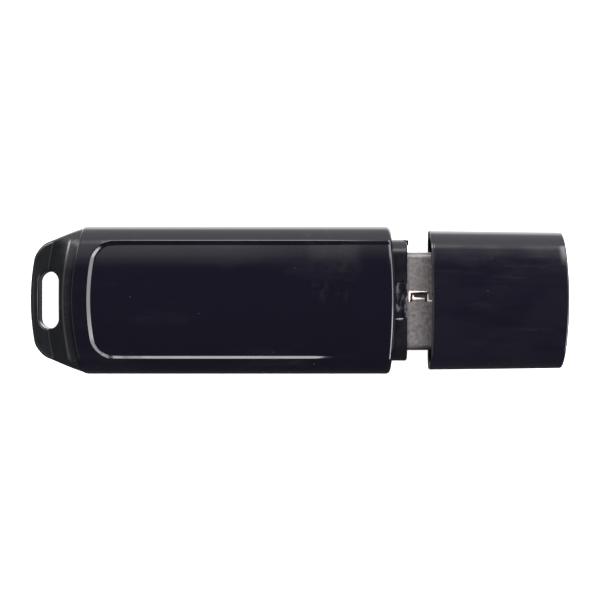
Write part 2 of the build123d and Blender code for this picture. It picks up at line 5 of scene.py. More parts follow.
import bmesh
import bpy
import numpy as np
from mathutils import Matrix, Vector


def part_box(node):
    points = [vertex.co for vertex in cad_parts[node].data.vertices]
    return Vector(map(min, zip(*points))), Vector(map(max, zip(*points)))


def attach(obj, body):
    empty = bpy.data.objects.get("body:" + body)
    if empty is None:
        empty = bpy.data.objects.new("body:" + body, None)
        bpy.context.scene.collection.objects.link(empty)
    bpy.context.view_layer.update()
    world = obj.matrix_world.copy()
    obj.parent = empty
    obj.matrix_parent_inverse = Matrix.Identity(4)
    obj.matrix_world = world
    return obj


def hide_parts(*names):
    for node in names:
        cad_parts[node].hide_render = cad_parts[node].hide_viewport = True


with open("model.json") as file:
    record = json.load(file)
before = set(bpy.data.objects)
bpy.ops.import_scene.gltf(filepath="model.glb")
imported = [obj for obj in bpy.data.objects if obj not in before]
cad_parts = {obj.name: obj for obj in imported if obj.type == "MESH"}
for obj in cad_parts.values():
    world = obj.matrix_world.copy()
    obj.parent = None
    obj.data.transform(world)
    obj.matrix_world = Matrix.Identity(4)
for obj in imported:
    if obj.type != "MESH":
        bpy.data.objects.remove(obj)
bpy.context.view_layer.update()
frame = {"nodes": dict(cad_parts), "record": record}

MM = 0.001  # the shapes below are worked out in millimetres and stored in metres


# ---------------------------------------------------------------- places, read from the frame


def node_box(node):
    """Lowest and highest corner of a CAD node, in millimetres."""
    low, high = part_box(node)
    return np.array(low) / MM, np.array(high) / MM


mounts = {mount["name"]: mount for mount in frame["record"]["mounts"]}
z_mid = mounts["usb_plug"]["pos_m"][2] / MM
slot_x = mounts["lanyard_slot"]["pos_m"][0] / MM
shell_low, shell_high = node_box("lower_shell")
tail_low = node_box("tail_loop")[0]
collar_high = node_box("neck_collar")[1]
cap_low, cap_high = node_box("cap_shell")

x_rear, x_front = shell_low[0], shell_high[0]
shell_length = x_front - x_rear
shell_half = shell_high[1]
shell_height = z_mid - shell_low[2]
cap_half = cap_high[1]
cap_height = z_mid - cap_low[2]

# ---------------------------------------------------------------- driving sizes, millimetres

CROWN_RADIUS = 29.3
SIDE_RADIUS = 3.0
BELLY_FLAT = 4.5
BELLY_DROP = 0.8
WALL = 1.1
FRONT_WALL = 1.5
REAR_BOW = 1.35
REAR_BOW_HALF = 8.94
FRONT_BOW = 0.5
EDGE_ROUND = 0.5
REAR_ROUND = 0.16
PARTING_DEPTH = 0.05
PARTING_HEIGHT = 0.07
CORNER_SETBACK = 1.75

RECESS_REAR = 1.92
RECESS_HALF = 7.21
RECESS_CORNER = 2.4
RECESS_WALL = 0.54
RECESS_DEPTH = 0.3
RECESS_SHALLOW = 0.08
RECESS_RAMP = (28.6, 35.6)
RECESS_PROFILE = (0.04, 0.4)

NECK_HALF = 7.525
NECK_HEIGHT = 2.95
NECK_CORNER = 2.05

TAIL_TIP_HALF = 6.55
TAIL_TIP_BOW = 0.75
TAIL_CORNER = 1.3
TAIL_TONGUE = 1.9
TAIL_ROOT = 3.9
TAIL_FOOT = 3.25
TAIL_SHOULDER = 0.85
TAIL_ROUND = 0.45
TAIL_PROFILE = (0.06, 0.3)
TAIL_REACH = 14.0
SLOT_HALF = 3.5
SLOT_RADIUS = 1.3
SLOT_ROUND = 0.28

CAP_TAPER = 0.2
CAP_END_BOW = 0.6
CAP_MOUTH_BOW = 0.2
CAP_ROUND = 0.24
CAP_LIP = 0.12
BORE_HALF = 7.625
BORE_HEIGHT = 3.05
BORE_CORNER = 2.15
BORE_END_WALL = 1.2

NUB_REACH = 0.2
NOTCH_START = 0.25
NOTCH_LENGTH = 2.3
NOTCH_WIDTH = 1.15
TAB_LENGTH = 1.5
TAB_WIDTH = 0.42
POCKET_HALF = 2.33
EDGE_SINK = 0.01

HALVINGS = 40


# ---------------------------------------------------------------- curves and profiles


def bow(y, sagitta, half):
    """How far an arc of the given sagitta over +-half has fallen back at y."""
    radius = (half ** 2 + sagitta ** 2) / (2 * sagitta)
    return radius - np.sqrt(radius ** 2 - np.minimum(np.abs(y), half) ** 2)


def ease(t):
    """Smooth step from 0 to 1."""
    t = np.clip(t, 0, 1)
    return t * t * (3 - 2 * t)


def wall_profile(t, top, bottom):
    """Height of a sloped wall from 0 to 1, rounded over `top` at its start and `bottom` at its end."""
    t = np.clip(t, 0, 1)
    total = 1 - (top + bottom) / 2
    start = t ** 2 / (2 * top)
    end = total - (1 - t) ** 2 / (2 * bottom)
    middle = t - top / 2
    return np.where(t < top, start, np.where(t < 1 - bottom, middle, end)) / total


def spaced(*stops):
    """Numbers from stop to stop: (start, (end, step), (end, step), ...)."""
    values = [stops[0]]
    for end, step in stops[1:]:
        count = max(1, round(abs(end - values[-1]) / step))
        values.extend(np.linspace(values[-1], end, count + 1)[1:])
    return np.array(values)


def crown_half(half, high, inset):
    """+Y half of the crowned section, (y, z above the middle), from the parting edge to the top."""
    crown, side = CROWN_RADIUS - inset, SIDE_RADIUS - inset
    centre_y = half - SIDE_RADIUS
    centre_z = high - CROWN_RADIUS + math.sqrt((CROWN_RADIUS - SIDE_RADIUS) ** 2 - centre_y ** 2)
    turn = math.degrees(math.asin(centre_y / (CROWN_RADIUS - SIDE_RADIUS)))
    wall = [(half - inset - PARTING_DEPTH, 0), (half - inset, PARTING_HEIGHT)]
    wall += [(half - inset, centre_z * t) for t in (0.4, 0.7)]
    angles = np.radians(np.append(np.linspace(90, 32, 13), np.linspace(32, turn, 18)[1:]))
    arc = np.stack([centre_y + side * np.sin(angles), centre_z + side * np.cos(angles)], 1)
    tangent = (half - SIDE_RADIUS) / (CROWN_RADIUS - SIDE_RADIUS) * CROWN_RADIUS
    across = np.concatenate([
        np.linspace(tangent, tangent - 0.6, 12, endpoint=False)[1:],
        np.linspace(tangent - 0.6, tangent - 1.8, 8, endpoint=False),
        np.linspace(tangent - 1.8, 0, 12),
    ])
    angles = np.arcsin(across / CROWN_RADIUS)
    top = np.stack([crown * np.sin(angles), high - CROWN_RADIUS + crown * np.cos(angles)], 1)
    return np.concatenate([np.array(wall), arc, top])


def belly_half(half, high, inset):
    """+Y half of the belly section, (y, z below the middle), from the parting edge to the flat."""
    slope = math.atan2(BELLY_DROP, half - BELLY_FLAT)
    centre_y = half - SIDE_RADIUS
    depth = (SIDE_RADIUS + (centre_y - BELLY_FLAT) * math.sin(slope)) / math.cos(slope)
    centre_z = depth - high
    side = SIDE_RADIUS - inset
    wall = [(half - inset - PARTING_DEPTH, 0), (half - inset, -PARTING_HEIGHT)]
    wall += [(half - inset, centre_z * t) for t in (0.4, 0.7)]
    angles = np.linspace(math.pi / 2, slope, 22)
    arc = np.stack([centre_y + side * np.sin(angles), centre_z - side * np.cos(angles)], 1)
    corner = np.array([BELLY_FLAT - inset * math.tan(slope / 2), inset - high])
    slant = np.array([arc[-1] + (corner - arc[-1]) * t for t in (0.3, 0.6, 0.8, 0.92)])
    flat = np.array([(corner[0] * t, corner[1]) for t in (0.96, 0.85, 0.6, 0.3, 0)])
    return np.concatenate([np.array(wall), arc, slant, flat])


def both_sides(half_section):
    """A section from its +Y half: over to -Y, with the middle point once."""
    return np.concatenate([half_section, half_section[-2::-1] * (-1, 1)])


def rounded_box(directions, half, high, radius):
    """Where rays from the centre meet a rounded rectangle."""
    unit = directions / np.linalg.norm(directions, axis=1, keepdims=True)
    low, far = np.zeros(len(unit)), np.full(len(unit), half + high)
    for _ in range(HALVINGS):
        middle = (low + far) / 2
        reach = np.abs(unit * middle[:, None]) - (half - radius, high - radius)
        outside = np.hypot(*np.maximum(reach, 0).T) + np.minimum(reach.max(1), 0) > radius
        far = np.where(outside, middle, far)
        low = np.where(outside, low, middle)
    return unit * low[:, None]


# ---------------------------------------------------------------- meshes


def finished(name, vertices, faces, body, slot, *nodes, sharp=35):
    """A smooth-shaded piece in place of CAD nodes, riding on a body."""
    mesh = bpy.data.meshes.new(name)
    mesh.from_pydata([tuple(v) for v in np.asarray(vertices) * MM], [], faces)
    solid = bmesh.new()
    solid.from_mesh(mesh)
    bmesh.ops.remove_doubles(solid, verts=solid.verts, dist=0.000001)
    bmesh.ops.recalc_face_normals(solid, faces=solid.faces)
    solid.to_mesh(mesh)
    solid.free()
    piece = bpy.data.objects.new(name, mesh)
    bpy.context.scene.collection.objects.link(piece)
    mesh.shade_smooth()
    mesh.set_sharp_from_angle(angle=math.radians(sharp))
    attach(piece, body)
    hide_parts(*nodes)
    return piece


def woven(rows, ring_closed, rows_closed):
    """Vertices and quads of a grid of rows, each of the same number of points."""
    rows = np.array(rows)
    count, width = rows.shape[:2]
    faces = []
    for i in range(count if rows_closed else count - 1):
        for j in range(width if ring_closed else width - 1):
            a, b = i * width, (i + 1) % count * width
            k = (j + 1) % width
            faces.append((a + j, a + k, b + k, b + j))
    ends = []
    if not ring_closed:
        ends = [[i * width for i in range(count)], [i * width + width - 1 for i in range(count)]]
    elif not rows_closed:
        ends = [list(range(width)), list(range((count - 1) * width, count * width))]
    return rows.reshape(-1, 3), faces + [tuple(end) for end in ends]


def placed(section, x):
    """A row of points from a section (y, z from the middle) at the given x for each point."""
    return np.stack([np.broadcast_to(x, len(section)), section[:, 0], section[:, 1] + z_mid], 1)


# ---------------------------------------------------------------- housing


tail_slope = (shell_half - TAIL_TIP_HALF) / (x_rear + CORNER_SETBACK - tail_low[0] - TAIL_TIP_BOW)


def shell_x(y, along):
    """x of a row that lies `along` from the rear end, bowed like the nearer end."""
    t = along / shell_length
    rear = bow(y, REAR_BOW, REAR_BOW_HALF) * ease((0.6 - t) / 0.3)
    front = bow(y, FRONT_BOW, shell_half) * ease((t - 0.7) / 0.2)
    return x_rear + along + rear - front


def trimmed(row):
    """The rear corners of the housing, cut along the tail's slanted sides."""
    limit = shell_half - np.maximum(0, x_rear + CORNER_SETBACK - row[:, 0]) * tail_slope
    row[:, 1] = np.clip(row[:, 1], -limit, limit)
    return row


def sunk(row):
    """The label recess, pressed into the crowned top."""
    x, y = row[:, 0], row[:, 1]
    from_rear = x - x_rear - bow(y, REAR_BOW, REAR_BOW_HALF)
    inside_x, inside_y = from_rear - RECESS_REAR, RECESS_HALF - np.abs(y)
    corner = RECESS_CORNER - np.hypot(
        np.maximum(RECESS_CORNER - inside_x, 0), np.maximum(RECESS_CORNER - inside_y, 0)
    )
    in_corner = (inside_x < RECESS_CORNER) & (inside_y < RECESS_CORNER)
    inside = np.where(in_corner, corner, np.minimum(inside_x, inside_y))
    start, end = RECESS_RAMP
    level = 1 - ease((x - x_rear - start) / (end - start))
    depth = RECESS_SHALLOW + (RECESS_DEPTH - RECESS_SHALLOW) * level
    on_top = row[:, 2] > z_mid + 0.5
    row[:, 2] -= on_top * depth * wall_profile(inside / RECESS_WALL, *RECESS_PROFILE)
    return row


def shell_rows(half_section, finish):
    """The closed loop of rows round one housing half: outside, front wall, inside, rear rim."""
    rows = []

    def add(inset, along, shape=finish):
        section = both_sides(half_section(shell_half, shell_height, inset))
        rows.append(shape(placed(section, shell_x(section[:, 0], along))))

    for angle in np.radians(np.linspace(90, 15, 6)):
        add(REAR_ROUND * (1 - math.cos(angle)), REAR_ROUND * (1 - math.sin(angle)))
    stations = spaced(
        REAR_ROUND, (1.6, 0.3), (2.4, 0.05), (3.8, 0.1), (28, 0.9), (36, 0.4),
        (shell_length - EDGE_ROUND, 0.6),
    )
    for along in stations:
        add(0, along)
    for angle in np.radians(np.linspace(12, 90, 8)):
        add(
            EDGE_ROUND * (1 - math.cos(angle)),
            shell_length - EDGE_ROUND + EDGE_ROUND * math.sin(angle),
        )
    outline = both_sides(half_section(shell_half, shell_height, 0))
    opening = rounded_box(outline, NECK_HALF, NECK_HEIGHT, NECK_CORNER)
    rows.append(placed(opening, shell_x(opening[:, 0], shell_length)))
    rows.append(placed(opening, x_front - FRONT_WALL))
    cavity = both_sides(half_section(shell_half, shell_height, WALL))
    cavity[[0, -1], 1] = 0
    rows.append(placed(cavity, x_front - FRONT_WALL))
    for along in spaced(shell_length - 3, (3, 3.0)):
        rows.append(placed(cavity, x_rear + along))
    rows.append(placed(cavity, shell_x(cavity[:, 0], 0)))
    return rows


def housing():
    """Both glossy halves of the housing."""
    for name, half_section, finish in (
        ("upper_shell", crown_half, lambda row: sunk(trimmed(row))),
        ("lower_shell", belly_half, trimmed),
    ):
        vertices, faces = woven(shell_rows(half_section, finish), False, True)
        yield finished(name + "_moulding", vertices, faces, "drive", "shell_gloss", name)


# ---------------------------------------------------------------- tail


def stadium(directions):
    """Where rays from the slot's centre meet its wall."""
    return rounded_box(directions, SLOT_RADIUS, SLOT_HALF, SLOT_RADIUS * 0.999)


def tail_edge(angles):
    """Where rays from the slot's centre meet the tail's outline, and which end on its outside."""
    unit = np.stack([np.cos(angles), np.sin(angles)], 1)
    tip_x, side_x = tail_low[0], tail_low[0] + TAIL_TIP_BOW

    def inside(points):
        x, y = points[:, 0] + slot_x, np.abs(points[:, 1])
        front = x - tip_x - bow(y, TAIL_TIP_BOW, TAIL_TIP_HALF)
        side = (TAIL_TIP_HALF + (x - side_x) * tail_slope - y) * math.cos(math.atan(tail_slope))
        corner = TAIL_CORNER - np.hypot(
            np.maximum(TAIL_CORNER - front, 0), np.maximum(TAIL_CORNER - side, 0)
        )
        near = (front < TAIL_CORNER) & (side < TAIL_CORNER)
        outer = np.where(near, corner, np.minimum(front, side))
        rear = x_rear + bow(y, REAR_BOW, REAR_BOW_HALF) - x
        return outer, rear

    low, far = np.zeros(len(unit)), np.full(len(unit), TAIL_REACH)
    for _ in range(HALVINGS):
        middle = (low + far) / 2
        outer, rear = inside(unit * middle[:, None])
        beyond = np.minimum(outer, rear) < 0
        far = np.where(beyond, middle, far)
        low = np.where(beyond, low, middle)
    outer, rear = inside(unit * low[:, None])
    return unit * low[:, None], outer < rear


def crown_z(y):
    """Height above the middle of the tail's crowned root."""
    centre_y = shell_half - SIDE_RADIUS
    centre_z = TAIL_ROOT - CROWN_RADIUS + math.sqrt((CROWN_RADIUS - SIDE_RADIUS) ** 2 - centre_y ** 2)
    tangent = centre_y / (CROWN_RADIUS - SIDE_RADIUS) * CROWN_RADIUS
    reach = np.abs(y)
    crown = TAIL_ROOT - CROWN_RADIUS + np.sqrt(CROWN_RADIUS ** 2 - reach ** 2)
    side = centre_z + np.sqrt(np.maximum(SIDE_RADIUS ** 2 - (reach - centre_y) ** 2, 0))
    return np.where(reach < tangent, crown, side)


def tail():
    """The tail: a flat tongue with its slot, a bowed ramp and a crowned root."""
    corner = math.atan2(REAR_BOW_HALF, x_rear + REAR_BOW - slot_x)
    angles = np.sort(np.append(np.linspace(-math.pi, math.pi, 360, endpoint=False), (corner, -corner)))
    edge, outside = tail_edge(angles)
    slot = stadium(np.stack([np.cos(angles), np.sin(angles)], 1))
    span = np.linalg.norm(edge - slot, axis=1)
    away = (edge - slot) / span[:, None]
    fillet = np.radians(np.linspace(0, 90, 9))
    near_slot = SLOT_ROUND * (1 - np.cos(fillet))
    near_edge = TAIL_ROUND * (1 - np.cos(fillet))
    between = np.linspace(0, 1, 44)[1:-1]
    rings = [slot + away * d for d in near_slot]
    rings += [
        slot + away * (SLOT_ROUND + (span - SLOT_ROUND - TAIL_ROUND) * t)[:, None] for t in between
    ]
    rings += [edge - away * d for d in near_edge[::-1]]
    from_slot = [np.full(len(span), d) for d in near_slot]
    from_slot += [SLOT_ROUND + (span - SLOT_ROUND - TAIL_ROUND) * t for t in between]
    from_slot += [span - d for d in near_edge[::-1]]

    def top(ring, reach):
        x, y = ring[:, 0] + slot_x, ring[:, 1]
        to_shell = x_rear + bow(y, REAR_BOW, REAR_BOW_HALF) - x
        climb = (TAIL_FOOT - to_shell) / (TAIL_FOOT - TAIL_SHOULDER)
        rise = wall_profile(climb, *TAIL_PROFILE)
        root = crown_z(y)
        height = np.minimum(TAIL_TONGUE, root) * (1 - rise) + root * rise
        lip = np.clip(SLOT_ROUND - reach, 0, SLOT_ROUND)
        height = height - (SLOT_ROUND - np.sqrt(SLOT_ROUND ** 2 - lip ** 2))
        rim = np.clip(TAIL_ROUND - (span - reach), 0, TAIL_ROUND) * outside
        return height - (TAIL_ROUND - np.sqrt(TAIL_ROUND ** 2 - rim ** 2))

    upper = [
        np.stack([ring[:, 0] + slot_x, ring[:, 1], z_mid + top(ring, reach)], 1)
        for ring, reach in zip(rings, from_slot)
    ]
    lower = [row * (1, 1, -1) + (0, 0, 2 * z_mid) for row in upper[::-1]]
    vertices, faces = woven(upper + lower, True, True)
    return finished("tail_moulding", vertices, faces, "drive", "tail_plastic", "tail_loop")


# ---------------------------------------------------------------- cap


def cap():
    """The pull-off cap: a tapered shell with a bowed, closed end and an open mouth."""
    x_mouth, x_end = cap_low[0] + CAP_MOUTH_BOW, cap_high[0]
    length = x_end - x_mouth

    def ring(inset, along, half=None):
        t = along / length
        half = cap_half - CAP_TAPER * t if half is None else half
        upper = both_sides(crown_half(half, cap_height, inset))
        lower = both_sides(belly_half(half, cap_height, inset))
        whole = np.concatenate([upper, lower[::-1][1:-1]])
        whole[[0, len(upper) - 1], 0] = (half - inset, inset - half)
        end = bow(whole[:, 0], CAP_END_BOW, half) * ease((t - 0.5) / 0.4)
        mouth = bow(whole[:, 0], CAP_MOUTH_BOW, half) * ease((0.5 - t) / 0.4)
        return placed(whole, x_mouth + along - mouth - end)

    rows = [ring(CAP_LIP, 0), ring(CAP_LIP / 3, CAP_LIP / 3), ring(0, CAP_LIP)]
    rows += [ring(0, along) for along in spaced(0.5, (length - CAP_ROUND, 0.8))]
    for angle in np.radians(np.linspace(12, 90, 8)):
        inset = CAP_ROUND * (1 - math.cos(angle))
        rows.append(ring(inset, length - CAP_ROUND + CAP_ROUND * math.sin(angle)))
    last = rows[-1]
    for scale in (0.9, 0.75, 0.5, 0.25, 0.05):
        row = last * (1, scale, 1)
        row[:, 2] = z_mid + (last[:, 2] - z_mid) * scale
        row[:, 0] = x_end - bow(row[:, 1], CAP_END_BOW, cap_half)
        rows.append(row)
    outline = rows[2][:, 1:] - (0, z_mid)
    bore = rounded_box(outline, BORE_HALF, BORE_HEIGHT, BORE_CORNER)
    inside = [placed(bore, x_mouth - bow(bore[:, 0], CAP_MOUTH_BOW, cap_half) + 0.05)]
    for x in (x_mouth + 2, x_end - 3, x_end - BORE_END_WALL):
        inside.append(placed(bore, x))
    for scale in (0.8, 0.4, 0.05):
        inside.append(placed(bore * scale, x_end - BORE_END_WALL))
    vertices, faces = woven(inside[::-1] + rows, True, False)
    return finished("cap_moulding", vertices, faces, "cap", "cap_gloss", "cap_shell")


# ---------------------------------------------------------------- cut edges


def lip(name, path, z, half_width, height, slot):
    """A thin rounded lip along a path of (x, y) points at height z."""
    path = np.array(path, float)
    steps = np.diff(path, axis=0)
    steps /= np.linalg.norm(steps, axis=1)[:, None]
    before = np.concatenate([steps[:1], steps])
    after = np.concatenate([steps, steps[-1:]])
    normals = np.stack([-(before + after)[:, 1], (before + after)[:, 0]], 1)
    normals *= (2 / (normals ** 2).sum(1))[:, None]
    turns = np.radians(np.arange(0, 360, 24))
    rows = []
    for point, normal in zip(path, normals):
        across = point + normal * (half_width * np.cos(turns))[:, None]
        rows.append(np.column_stack([across, z + height * np.sin(turns)]))
    rows[0] = rows[0] * 0.35 + rows[0].mean(0) * 0.65
    rows[-1] = rows[-1] * 0.35 + rows[-1].mean(0) * 0.65
    vertices, faces = woven(rows, True, False)
    return finished(name, vertices, faces, "drive", slot, sharp=60)


def seam_edges():
    """Bright raised lips along the cut edges round the plug's folded seam: the edges are real, and
    their brightness is a painted highlight in their pale finish.
    """
    plug_low, plug_high = node_box("plug_shell")
    seam = (plug_low[1] + plug_high[1]) / 2
    start = collar_high[0] - NUB_REACH + NOTCH_START
    end = start + NOTCH_LENGTH
    outline = [
        (start, seam - 0.1), (start, seam + 0.4), (start, seam + NOTCH_WIDTH - 0.1),
        (start + 0.1, seam + NOTCH_WIDTH), (end - 0.1, seam + NOTCH_WIDTH),
    ]
    yield lip("seam_edge_outer", outline, plug_high[2] - EDGE_SINK, 0.14, 0.07, "plug_steel")
    corner = [
        (end, seam + NOTCH_WIDTH - 0.25), (end, seam + 0.15), (end + 0.12, seam + 0.03),
        (end + 1.3, seam + 0.03),
    ]
    yield lip("seam_edge_far", corner, plug_high[2] - EDGE_SINK, 0.12, 0.06, "plug_steel")
    middle = (start + end) / 2
    tab = [
        (middle - TAB_LENGTH / 2 + 0.08, seam + TAB_WIDTH + 0.32),
        (middle - TAB_LENGTH / 2 + 0.08, seam + 0.42), (middle - TAB_LENGTH / 2 + 0.2, seam + 0.3),
        (middle + TAB_LENGTH / 2, seam + 0.3),
    ]
    yield lip("seam_edge_tab", tab, plug_high[2] - EDGE_SINK, 0.15, 0.07, "plug_steel")


def pocket_lip():
    """The lip along one side of the neck's pocket, pale grey: a painted highlight on a real raised lip.
    """
    x_start = shell_high[0] + 0.12
    path = [
        (x_start, -POCKET_HALF),
        (x_start + 0.5, -POCKET_HALF),
        (x_start + 0.95, -POCKET_HALF + 0.05),
    ]
    return lip("pocket_edge", path, z_mid + NECK_HEIGHT - 0.06, 0.13, 0.06, "collar_plastic")


# ---------------------------------------------------------------- materials


class Finish:
    """A node material on its way: sockets are set by name, textures are measured in millimetres."""

    def __init__(self, name, **constants):
        self.material = bpy.data.materials.new(name)
        self.material.use_nodes = True
        self.tree = self.material.node_tree
        self.shader = self.tree.nodes["Principled BSDF"]
        for socket, value in constants.items():
            self.shader.inputs[socket.replace("_", " ")].default_value = value
        place = self.node("ShaderNodeTexCoord").outputs["Object"]
        self.place = self.vector("MULTIPLY", place, (1 / MM,) * 3)

    def node(self, kind, values=(), **settings):
        node = self.tree.nodes.new(kind)
        for name, value in settings.items():
            setattr(node, name, value)
        for socket, value in dict(values).items():
            if isinstance(value, bpy.types.NodeSocket):
                self.tree.links.new(value, node.inputs[socket])
            else:
                node.inputs[socket].default_value = value
        return node

    def vector(self, operation, a, b):
        return self.node("ShaderNodeVectorMath", {0: a, 1: b}, operation=operation).outputs[0]

    def maths(self, operation, a, b=0.0):
        return self.node("ShaderNodeMath", {0: a, 1: b}, operation=operation).outputs[0]

    def ramp(self, value, low, high, start=0.0, end=1.0):
        """value from low..high taken smoothly to start..end."""
        values = {"Value": value, "From Min": low, "From Max": high, "To Min": start, "To Max": end}
        node = self.node("ShaderNodeMapRange", values, interpolation_type="SMOOTHSTEP")
        return node.outputs["Result"]

    def noise(self, per_mm, detail=2.0, stretch=(1, 1, 1), offset=0.0, roughness=0.5):
        """Cloudy values round 0.5 with `per_mm` clouds in a millimetre."""
        place = self.vector("MULTIPLY", self.place, stretch)
        place = self.vector("ADD", place, (offset, offset * 0.7, offset * 0.4))
        values = {"Vector": place, "Scale": per_mm, "Detail": detail, "Roughness": roughness}
        return self.node("ShaderNodeTexNoise", values).outputs[0]

    def specks(self, per_mm, radius, offset=0.0):
        """1 inside small scattered spots whose radius is in millimetres."""
        place = self.vector("ADD", self.place, (offset, offset * 1.3, offset * 0.6))
        cells = self.node("ShaderNodeTexVoronoi", {"Vector": place, "Scale": per_mm})
        return self.ramp(cells.outputs["Distance"], radius * per_mm, radius * per_mm * 0.4)

    def blend(self, amount, first, second):
        """One colour turning into the other as the amount goes from 0 to 1."""
        node = self.node("ShaderNodeMix", {0: amount}, data_type="RGBA")
        for index, colour in ((6, first), (7, second)):
            if isinstance(colour, bpy.types.NodeSocket):
                self.tree.links.new(colour, node.inputs[index])
            else:
                node.inputs[index].default_value = (*colour, 1)
        return node.outputs[2]

    def bump(self, height, millimetres):
        """Relief of the given height, on the shader's normal."""
        values = {"Height": height, "Distance": millimetres * MM, "Strength": 1.0}
        self.use("Normal", self.node("ShaderNodeBump", values).outputs["Normal"])

    def use(self, socket, value):
        self.tree.links.new(value, self.shader.inputs[socket])


def smudged_gloss(name, handled=0.0, speck=0.11):
    """High-gloss blue-black plastic with handling smudges, hairlines and dust."""
    f = Finish(name, IOR=1.5)
    smudge = f.ramp(f.noise(0.16, 4, (0.5, 1.6, 1), 3.1, 0.6), 0.5 - handled, 0.72 - handled)
    streak = f.ramp(f.noise(0.55, 3, (0.25, 2.6, 1), 11.7), 0.58, 0.72)
    hairline = f.ramp(f.noise(2.2, 2, (0.03, 3.0, 1), 7.9), 0.66, 0.7)
    parts = f.node("ShaderNodeSeparateXYZ", {0: f.place})
    thumb = f.maths("MULTIPLY", f.ramp(parts.outputs[0], -1, 2.5), f.ramp(parts.outputs[0], 9, 5))
    thumb = f.maths("MULTIPLY", thumb, f.ramp(parts.outputs[1], -2, 1))
    thumb = f.maths("MULTIPLY", thumb, f.ramp(f.noise(0.7, 4, (1.2, 0.6, 1), 41.0, 0.62), 0.48, 0.7))
    dust = f.maths("MAXIMUM", f.specks(0.3, speck, offset=4.3), f.specks(0.55, 0.06, offset=21.0))
    haze = f.maths("MAXIMUM", f.maths("MULTIPLY", streak, smudge), f.maths("MULTIPLY", thumb, 0.7))
    body = f.blend(smudge, (0.0029, 0.0025, 0.0064), (0.005, 0.0043, 0.0088))
    body = f.blend(haze, body, (0.0095, 0.009, 0.0135))
    f.use("Base Color", f.blend(dust, body, (0.045, 0.045, 0.047)))
    rough = f.ramp(f.noise(0.3, 3, offset=5.5), 0.3, 0.7, 0.05, 0.1)
    rough = f.maths("ADD", rough, f.maths("MULTIPLY", smudge, 0.05))
    rough = f.maths("ADD", rough, f.maths("MULTIPLY", hairline, 0.05))
    f.use("Roughness", f.maths("ADD", rough, f.maths("MULTIPLY", dust, 0.5)))
    f.bump(f.maths("ADD", f.noise(0.9, 2), f.maths("MULTIPLY", dust, 1.5)), 0.0022)
    return f.material


def moulded(name, dark, light, rough, grain, depth, wear=0.0):
    """Fine-grained moulded plastic: mottled colour and gloss, and a spark-eroded grain."""
    f = Finish(name, IOR=1.49)
    cloud = f.ramp(f.noise(0.45, 4, offset=2.2), 0.3, 0.7)
    fine = f.noise(grain, 2, offset=9.1)
    rub = f.ramp(f.noise(1.3, 4, (0.5, 1, 1), 15.3, 0.65), 0.56, 0.75, 0, wear)
    body = f.blend(cloud, dark, light)
    f.use("Base Color", f.blend(rub, body, tuple(c * 2.2 + 0.01 for c in light)))
    gloss = f.ramp(f.noise(0.8, 3, offset=6.4), 0.3, 0.7, rough[0], rough[1])
    f.use("Roughness", f.maths("SUBTRACT", gloss, f.maths("MULTIPLY", rub, 0.08)))
    f.bump(fine, depth)
    return f.material


def plated(name, bright, dull, rough, mottle=1.1, scratch=0.0):
    """Plated or tinned metal: blotchy tone, uneven polish and light handling scratches."""
    f = Finish(name, Metallic=1.0)
    blotch = f.ramp(f.noise(mottle, 5, offset=3.7, roughness=0.62), 0.34, 0.66)
    grit = f.noise(mottle * 6, 3, offset=8.8)
    lines = f.ramp(f.noise(3.5, 2, (0.06, 2.2, 2.2), 12.6), 0.6, 0.68)
    tone = f.blend(blotch, dull, bright)
    tone = f.blend(f.ramp(grit, 0.55, 0.75, 0, 0.35), tone, tuple(c * 0.72 for c in dull))
    f.use("Base Color", tone)
    level = f.ramp(f.noise(mottle * 1.7, 4, offset=1.4), 0.3, 0.7, rough[0], rough[1])
    f.use("Roughness", f.maths("ADD", level, f.maths("MULTIPLY", lines, scratch)))
    f.bump(f.maths("ADD", grit, f.maths("MULTIPLY", lines, -scratch * 4)), 0.004)
    return f.material


def seam_glint_finish(name):
    """The plug's cut edges: pale, matt and a little pink, a painted highlight standing in for the
    lamp's glint on real cut edges.
    """
    f = Finish(name, Metallic=0.35)
    tone = f.ramp(f.noise(2.6, 4, offset=14.2), 0.3, 0.7)
    f.use("Base Color", f.blend(tone, (0.78, 0.62, 0.58), (1.0, 0.93, 0.9)))
    f.use("Roughness", f.ramp(f.noise(5.0, 2), 0.3, 0.7, 0.35, 0.5))
    f.bump(f.noise(12.0, 2), 0.004)
    return f.material


def collar_plastic(name):
    """The neck's black plastic, scuffed pale in the pocket between the catches."""
    f = Finish(name, IOR=1.49)
    cloud = f.ramp(f.noise(0.45, 4, offset=2.2), 0.3, 0.7)
    parts = f.node("ShaderNodeSeparateXYZ", {0: f.place})
    along, across = parts.outputs[0], parts.outputs[1]
    here = f.maths("MULTIPLY", f.ramp(along, x_front, x_front + 0.4), f.ramp(across, 2.5, 1.6))
    here = f.maths("MULTIPLY", here, f.ramp(across, -2.3, -1.9))
    scuff = f.ramp(f.noise(1.3, 4, (1.6, 0.7, 1), 31.0, 0.6), 0.46, 0.7)
    scuff = f.maths("MULTIPLY", scuff, here)
    body = f.blend(cloud, (0.003, 0.0026, 0.0052), (0.0046, 0.0042, 0.0072))
    f.use("Base Color", f.blend(scuff, body, (0.075, 0.08, 0.105)))
    gloss = f.ramp(f.noise(0.8, 3, offset=6.4), 0.3, 0.7, 0.16, 0.26)
    f.use("Roughness", f.maths("ADD", gloss, f.maths("MULTIPLY", scuff, 0.25)))
    f.bump(f.maths("ADD", f.noise(6.0, 2, offset=9.1), f.maths("MULTIPLY", scuff, 2.0)), 0.003)
    return f.material


